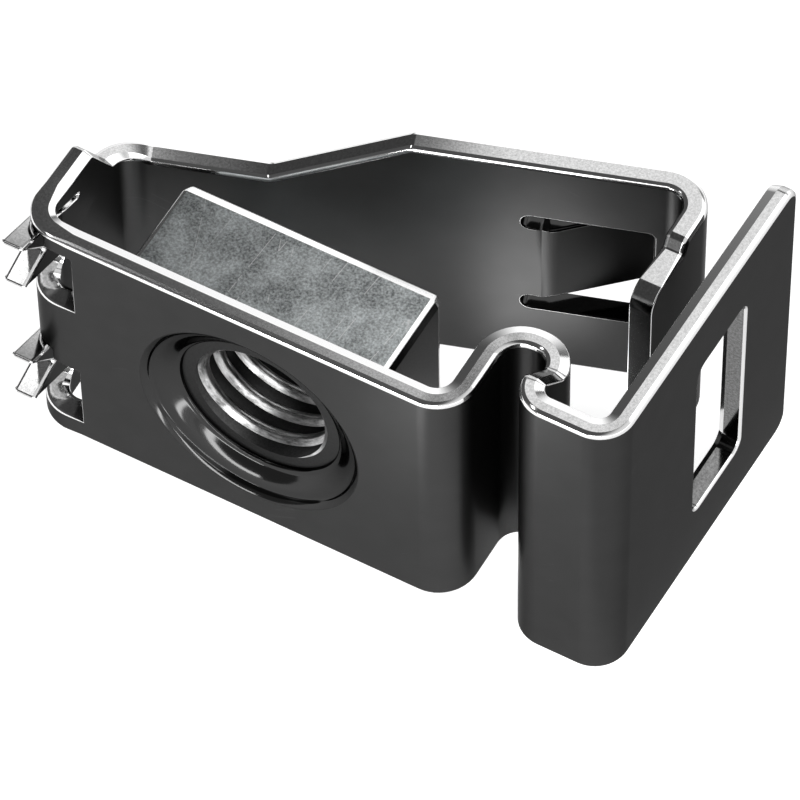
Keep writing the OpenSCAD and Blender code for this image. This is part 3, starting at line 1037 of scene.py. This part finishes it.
def pale_floor():
    """White to the camera. Only in reflections it is painted: dimmer by the lever as painted shade,
    and two glowing patches as a painted reflection behind the nut and a painted highlight in the
    dish.
    """
    material, tree, shader = new_material("pale_floor")
    axes = object_axes(tree)
    # Painted shade: the floor is reflected dimmer beside the lever
    by_lever = smooth_step(tree, axes["X"], 0.0125, 0.0165, 1.0, 0.55)
    # Painted reflections: two glowing patches that no lamp makes, one behind the nut and a brighter
    # one for the highlight in the dish
    behind_nut = floor_patch(tree, axes, (0.0055, 0.0075), (0.001, 0.0045), soft=0.002)
    by_dish = floor_patch(tree, axes, (0.002, 0.006), (-0.0155, -0.0135), soft=0.001)
    patches = add(tree, multiply(tree, behind_nut, 4.5), multiply(tree, by_dish, 12))
    in_metal = add(tree, by_lever, patches)
    ray = node(tree, "ShaderNodeLightPath").outputs
    seen = maximum(tree, ray["Is Camera Ray"], multiply(tree, ray["Is Glossy Ray"], in_metal))
    feed(tree, shader, {"Base Color": grey(0.85), "Roughness": 0.9, "Specular IOR Level": 0.0,
                        "Emission Color": grey(1), "Emission Strength": multiply(tree, seen, 0.8)})
    return material


def make_floor():
    mesh = bpy.data.meshes.new("floor")
    size, level = 0.6, cad_box[0][2]
    corners = [(-size, -size), (size, -size), (size, size), (-size, size)]
    mesh.from_pydata([(x, y, level) for x, y in corners], [], [(0, 1, 2, 3)])
    floor = linked_object("floor", mesh, pale_floor())


def make_world():
    """A bright band round the horizon, dim to the left and the front, and a pale right side"""
    world = bpy.data.worlds.new("studio")
    bpy.context.scene.world = world
    world.use_nodes = True
    tree = world.node_tree
    dim, bright, pale = 0.07, 1.3, 0.7
    direction = node(tree, "ShaderNodeTexCoord").outputs["Generated"]
    axes = axes_of(tree, direction)
    low = smooth_step(tree, axes["Z"], 0.3, 0.55, 1.0, 0.0)
    leftwards = towards(tree, direction, (-0.98, 0.196, 0))
    not_left = smooth_step(tree, leftwards, 0.62, 0.84, 1.0, 0.0)
    backwards = towards(tree, direction, (0.3, 0.95, 0))
    not_front = smooth_step(tree, backwards, -0.85, -0.55, 0.15, 1.0)
    band = multiply(tree, multiply(tree, low, not_left), not_front)
    horizon = spread(tree, band, 0, 1, dim, bright)
    right_side = smooth_step(tree, axes["X"], 0.05, 0.4, dim, pale)
    feed(tree, tree.nodes["Background"].inputs, {
        "Strength": maximum(tree, horizon, right_side), "Color": grey(1)})


def area_light(name, place, aim, size, power):
    lamp = bpy.data.lights.new(name, "AREA")
    lamp.shape = "RECTANGLE"
    lamp.size, lamp.size_y = size
    lamp.energy = power
    light = bpy.data.objects.new(name, lamp)
    light.location = place
    light.rotation_euler = (Vector(aim) - Vector(place)).to_track_quat("-Z", "Y").to_euler()
    bpy.context.scene.collection.objects.link(light)
    return light


def fade_in(lamp, across, along, full):
    """Let a light grow across and along itself; beyond full it no longer fades along

    Each fade is where it starts and ends, as shares of the light's size.
    """
    lamp.use_nodes = True
    tree = lamp.node_tree
    axes = axes_of(tree, node(tree, "ShaderNodeNewGeometry").outputs["Parametric"])
    least_across, least_along = 0.11, 0.2
    deep = maximum(tree, smooth_step(tree, axes["Y"], *along, least_along, 1.0),
                   smooth_step(tree, axes["X"], *full))
    share = multiply(tree, smooth_step(tree, axes["X"], *across, least_across, 1.0), deep)
    feed(tree, tree.nodes["Emission"].inputs, {"Strength": share})


def make_lights():
    """A panel over the back, two lights low in front of the part and a small one on the left"""
    middle = (0, 0, 0)
    panel = area_light("back_panel", (0.025, 0.116, 0.12), (0.025, 0.116, 0), (0.17, 0.108), 0.065)
    fade_in(panel.data, (0.042, 0.1), (0.066, 0.098), (0.118, 0.138))
    area_light("front_strip", (0.04, -0.2, 0.0115), middle, (0.24, 0.021), 0.16)
    area_light("front_card", (0.055, -0.185, 0.082), middle, (0.09, 0.045), 0.05)
    area_light("left_card", (-0.06, -0.02, 0.12), (-0.06, -0.02, 0), (0.016, 0.03), 0.0038)


def make_camera():
    camera = bpy.data.objects.new("camera", bpy.data.cameras.new("camera"))
    camera.location = (0.077037, -0.124709, 0.199923)
    camera.rotation_euler = [math.radians(angle) for angle in (35.95133, 0.45454, 29.24959)]
    camera.data.lens = 311.74
    camera.data.sensor_width = 36
    camera.data.shift_x = -0.02538
    camera.data.shift_y = -0.00396
    camera.data.clip_start = 0.01
    camera.data.clip_end = 2
    bpy.context.scene.collection.objects.link(camera)
    bpy.context.scene.camera = camera


def main():
    bpy.context.scene.view_settings.view_transform = "Standard"
    speckle, scratches, edges = speckle_group(), scratch_group(), cut_edge_group()
    cage = make_cage(sheet_steel(speckle, scratches, edges))
    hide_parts("cage")
    nut = make_nut_body(zinc_nut(speckle, scratches, edges))
    thread = make_thread(cut_thread(speckle))
    for piece in (nut, thread):
        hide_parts("nut")
    for piece in (cage, nut, thread):
        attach(piece, "root")
    make_floor()
    make_world()
    make_lights()
    make_camera()


main()
